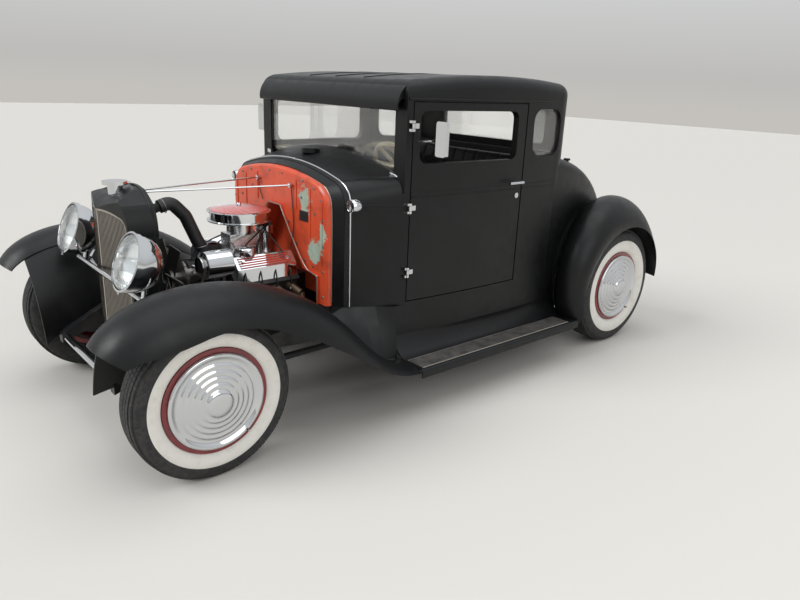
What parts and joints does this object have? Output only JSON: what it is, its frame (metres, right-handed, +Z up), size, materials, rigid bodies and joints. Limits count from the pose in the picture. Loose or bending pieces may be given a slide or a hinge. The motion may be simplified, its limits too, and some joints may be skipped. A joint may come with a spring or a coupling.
{
  "type": "hot rod coupe",
  "caption": "Chopped and lowered five-window hot rod coupe with an open V8, swept fenders, whitewall tyres, opening doors and deck lid, and linked steering.",
  "frame": {"origin": "on the ground under the middle of the bounding box", "axes": "+Z up, -Y to the front of the car, +X to its left"},
  "size_m": [1.6902, 3.474, 1.538],
  "materials": {
    "satin_black": "satin",
    "orange": "worn",
    "chrome": "polished",
    "bright_bars": "satin",
    "polished": "polished",
    "engine_black": "matte",
    "steel": "satin",
    "chassis": "matte",
    "wheel_red": "gloss",
    "tyre": "matte",
    "rubber": "matte",
    "black_hide": "satin",
    "cream": "gloss",
    "glass": "clear",
    "red_lens": "gloss"
  },
  "bodies": {
    "root": {"front_axle": "chassis", "rear_axle": "chassis", "frame_rails": "chassis", "driveshaft": "chassis", "floor": "chassis", "spreader_bar": "chrome", "hinge_halves": "chrome", "headlamp_shells": "chrome", "headlamp_bar": "chrome", "stay_rods": "chrome", "cowl_band": "chrome", "radiator_cap": "chrome", "air_cleaner": "chrome", "cowl_lamps": "chrome", "alternator": "chrome", "cowl": "satin_black", "windshield_frame": "satin_black", "roof": "satin_black", "rear_body": "satin_black", "front_fenders": "satin_black", "rear_fenders": "satin_black", "running_boards": "satin_black", "grille_shell": "satin_black", "filler_caps": "satin_black", "firewall": "orange", "grille_insert": "bright_bars", "valve_covers": "polished", "intake": "polished", "engine_block": "engine_black", "radiator": "engine_black", "exhaust": "steel", "belt_drive": "steel", "radiator_hose": "rubber", "seat": "black_hide", "parcel_shelf": "black_hide", "dash": "cream", "steering_wheel": "cream", "window_glass": "glass", "headlamp_lenses": "glass", "tail_lamps": "red_lens"},
    "road_front_left": {"tyre_front_left": "tyre", "wheel_front_left": "wheel_red", "hubcap_front_left": "chrome"},
    "road_front_right": {"tyre_front_right": "tyre", "wheel_front_right": "wheel_red", "hubcap_front_right": "chrome"},
    "road_rear_left": {"tyre_rear_left": "tyre", "wheel_rear_left": "wheel_red", "hubcap_rear_left": "chrome"},
    "road_rear_right": {"tyre_rear_right": "tyre", "wheel_rear_right": "wheel_red", "hubcap_rear_right": "chrome"},
    "steer_left": {"knuckle_left": "chassis"},
    "steer_right": {"knuckle_right": "chassis"},
    "track_rod": {"tie_rod": "chassis"},
    "left_door": {"door_left": "satin_black", "door_hardware_left": "chrome"},
    "right_door": {"door_right": "satin_black", "door_hardware_right": "chrome"},
    "lid": {"deck_lid": "satin_black"}
  },
  "joints": [
    {"name": "steer_left", "type": "hinge", "parent": "root", "child": "steer_left", "pos_m": [0.59, -1.332, 0.323], "axis": [0, 0, 1], "range_deg": [-28, 28]},
    {"name": "steer_right", "type": "hinge", "parent": "root", "child": "steer_right", "pos_m": [-0.59, -1.332, 0.323], "axis": [0, 0, 1], "range_deg": [-28, 28]},
    {"name": "track_rod_end", "type": "hinge", "parent": "steer_left", "child": "track_rod", "pos_m": [0.59, -1.202, 0.218], "axis": [0, 0, 1], "range_deg": [-28, 28]},
    {"name": "spin_front_left", "type": "hinge", "parent": "steer_left", "child": "road_front_left", "pos_m": [0.68, -1.332, 0.323], "axis": [1, 0, 0], "continuous": true},
    {"name": "spin_front_right", "type": "hinge", "parent": "steer_right", "child": "road_front_right", "pos_m": [-0.68, -1.332, 0.323], "axis": [1, 0, 0], "continuous": true},
    {"name": "spin_rear_left", "type": "hinge", "parent": "root", "child": "road_rear_left", "pos_m": [0.702, 1.297, 0.35], "axis": [1, 0, 0], "continuous": true},
    {"name": "spin_rear_right", "type": "hinge", "parent": "root", "child": "road_rear_right", "pos_m": [-0.702, 1.297, 0.35], "axis": [1, 0, 0], "continuous": true},
    {"name": "door_left", "type": "hinge", "parent": "root", "child": "left_door", "pos_m": [0.636, -0.305, 0.95], "axis": [0, 0, -1], "range_deg": [0, 68]},
    {"name": "door_right", "type": "hinge", "parent": "root", "child": "right_door", "pos_m": [-0.636, -0.305, 0.95], "axis": [0, 0, 1], "range_deg": [0, 68]},
    {"name": "deck_lid", "type": "hinge", "parent": "root", "child": "lid", "pos_m": [0, 1.004, 1.083], "axis": [1, 0, 0], "range_deg": [0, 50]}
  ],
  "couplings": [
    {"joint": "steer_right", "follows": "steer_left", "ratio": 1},
    {"joint": "track_rod_end", "follows": "steer_left", "ratio": -1}
  ]
}
